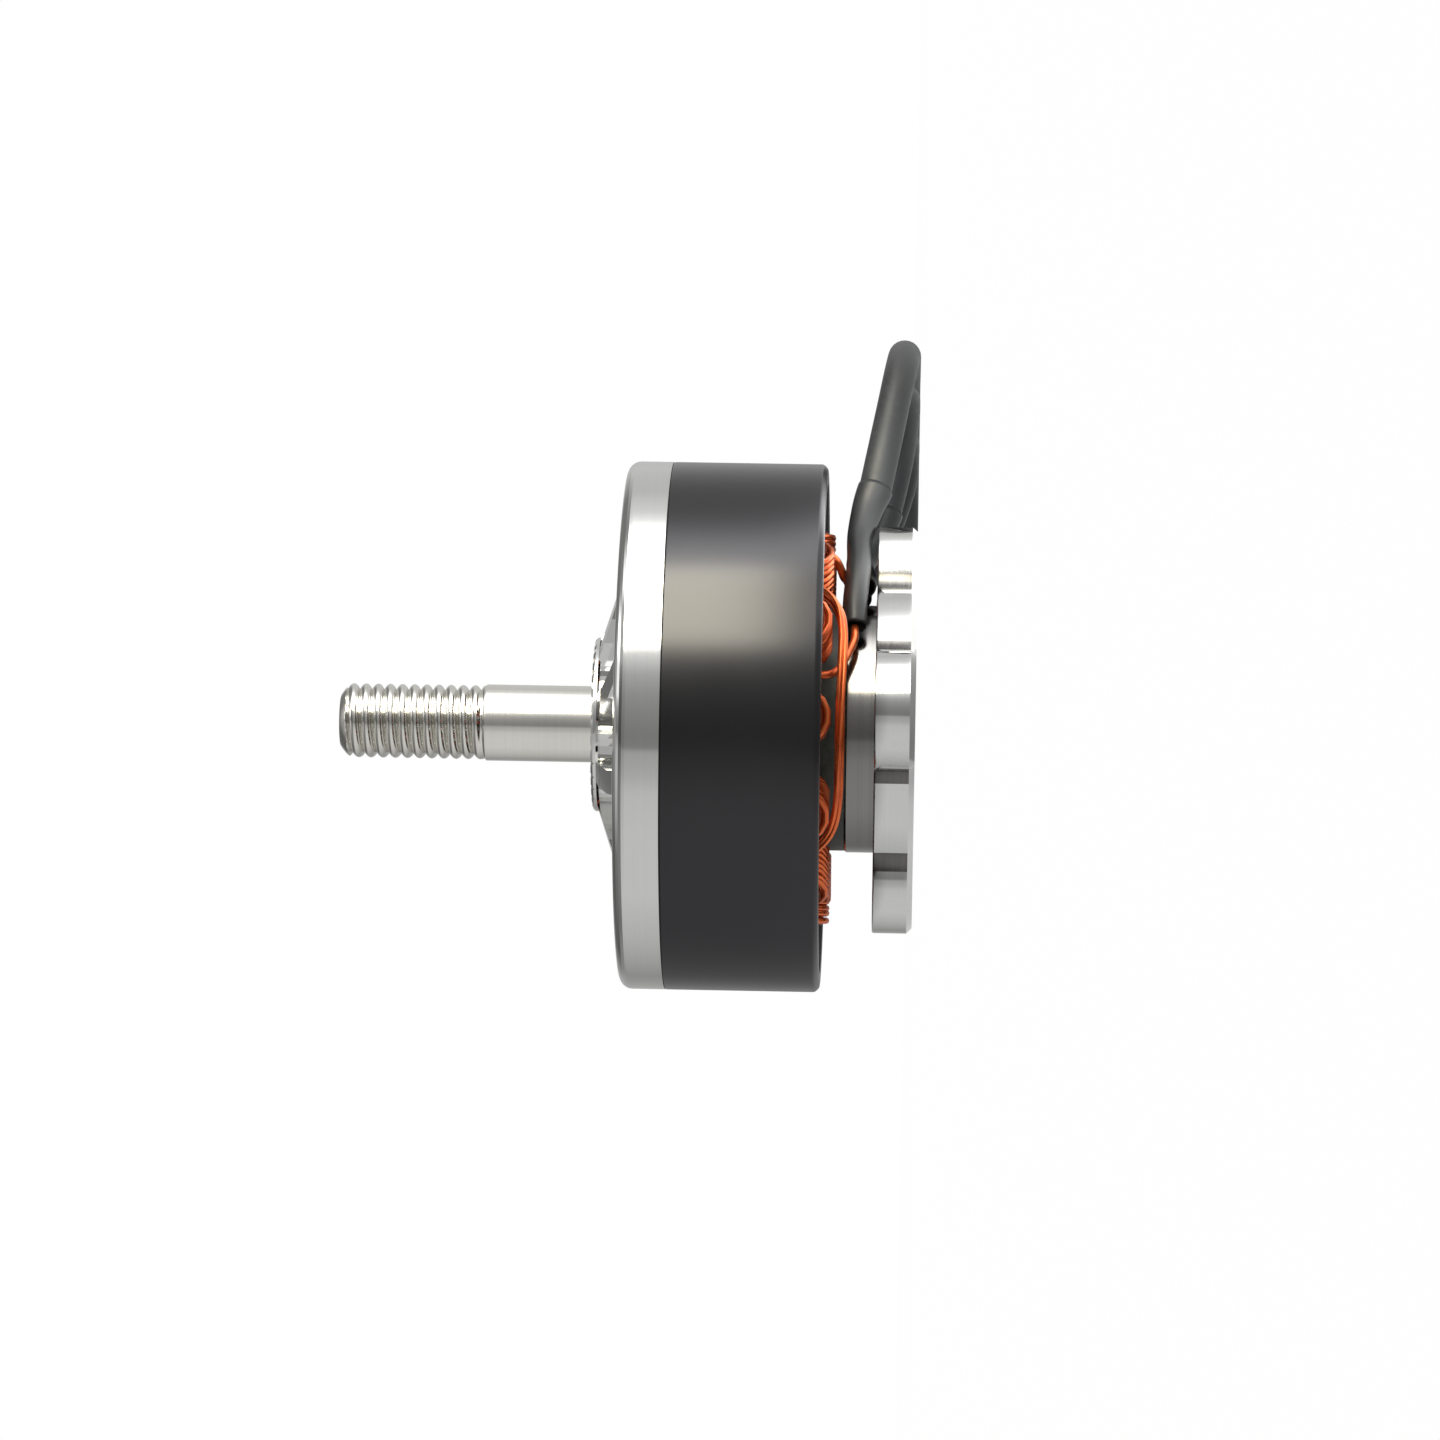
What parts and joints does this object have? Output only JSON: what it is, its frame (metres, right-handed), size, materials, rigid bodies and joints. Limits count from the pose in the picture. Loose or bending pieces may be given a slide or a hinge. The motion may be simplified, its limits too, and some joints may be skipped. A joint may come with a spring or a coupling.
{
  "type": "outrunner brushless motor",
  "caption": "Outrunner brushless drone motor with a spoked bell, black flux ring, threaded propeller shaft, round-bossed mounting base and black leads.",
  "frame": {"origin": "centre of the mounting face, on the shaft's axis", "axes": "+Z along the shaft to its tip, +X to the side where the leads leave"},
  "size_m": [0.0439, 0.0823, 0.0377],
  "materials": {
    "base_metal": "machined, satin, bright plated",
    "cap_metal": "turned, satin, bright plated",
    "shaft_steel": "ground, threaded end",
    "flux_ring_coat": "black, half gloss",
    "lamination_steel": "coated laminations",
    "insulator": "dark grey green epoxy",
    "enamelled_copper": "enamelled wire, glossy",
    "heat_shrink": "shrunk tube, half matt",
    "silicone_lead": "silicone, half matt",
    "tie_nylon": "nylon",
    "magnet_plate": "nickel plated",
    "clip_steel": "spring steel",
    "bearing_steel": "ground and polished",
    "cage_brass": "pressed"
  },
  "bodies": {
    "root": {"base": "base_metal", "stator_core": "lamination_steel", "front_insulator": "insulator", "rear_insulator": "insulator", "coil_cores_a": "enamelled_copper", "coil_cores_b": "enamelled_copper", "coil_cores_c": "enamelled_copper", "coil_turns_a": "enamelled_copper", "coil_turns_b": "enamelled_copper", "coil_turns_c": "enamelled_copper", "crossover_wires": "enamelled_copper", "tail_wires": "enamelled_copper", "sleeve_a": "heat_shrink", "sleeve_b": "heat_shrink", "sleeve_c": "heat_shrink", "lead_a": "silicone_lead", "lead_b": "silicone_lead", "lead_c": "silicone_lead", "lead_tie": "tie_nylon", "front_bearing_outer": "bearing_steel", "front_bearing_shields": "clip_steel", "rear_bearing_outer": "bearing_steel", "rear_bearing_shields": "clip_steel"},
    "rotor": {"bell_cap": "cap_metal", "flux_ring": "flux_ring_coat", "magnets": "magnet_plate", "shaft": "shaft_steel", "retaining_clip": "clip_steel", "rear_shim": "clip_steel", "front_shim": "clip_steel", "front_bearing_inner": "bearing_steel", "rear_bearing_inner": "bearing_steel"},
    "front_cage": {"front_bearing_cage": "cage_brass", "front_bearing_balls": "bearing_steel"},
    "rear_cage": {"rear_bearing_cage": "cage_brass", "rear_bearing_balls": "bearing_steel"}
  },
  "joints": [
    {"name": "rotor_spin", "type": "hinge", "parent": "root", "child": "rotor", "pos_m": [0, 0, 0], "axis": [0, 0, 1], "continuous": true},
    {"name": "front_cage_spin", "type": "hinge", "parent": "root", "child": "front_cage", "pos_m": [0, 0, 0], "axis": [0, 0, 1], "continuous": true},
    {"name": "rear_cage_spin", "type": "hinge", "parent": "root", "child": "rear_cage", "pos_m": [0, 0, 0], "axis": [0, 0, 1], "continuous": true}
  ],
  "couplings": [
    {"joint": "front_cage_spin", "follows": "rotor_spin", "ratio": 0.40132},
    {"joint": "rear_cage_spin", "follows": "rotor_spin", "ratio": 0.40132}
  ]
}
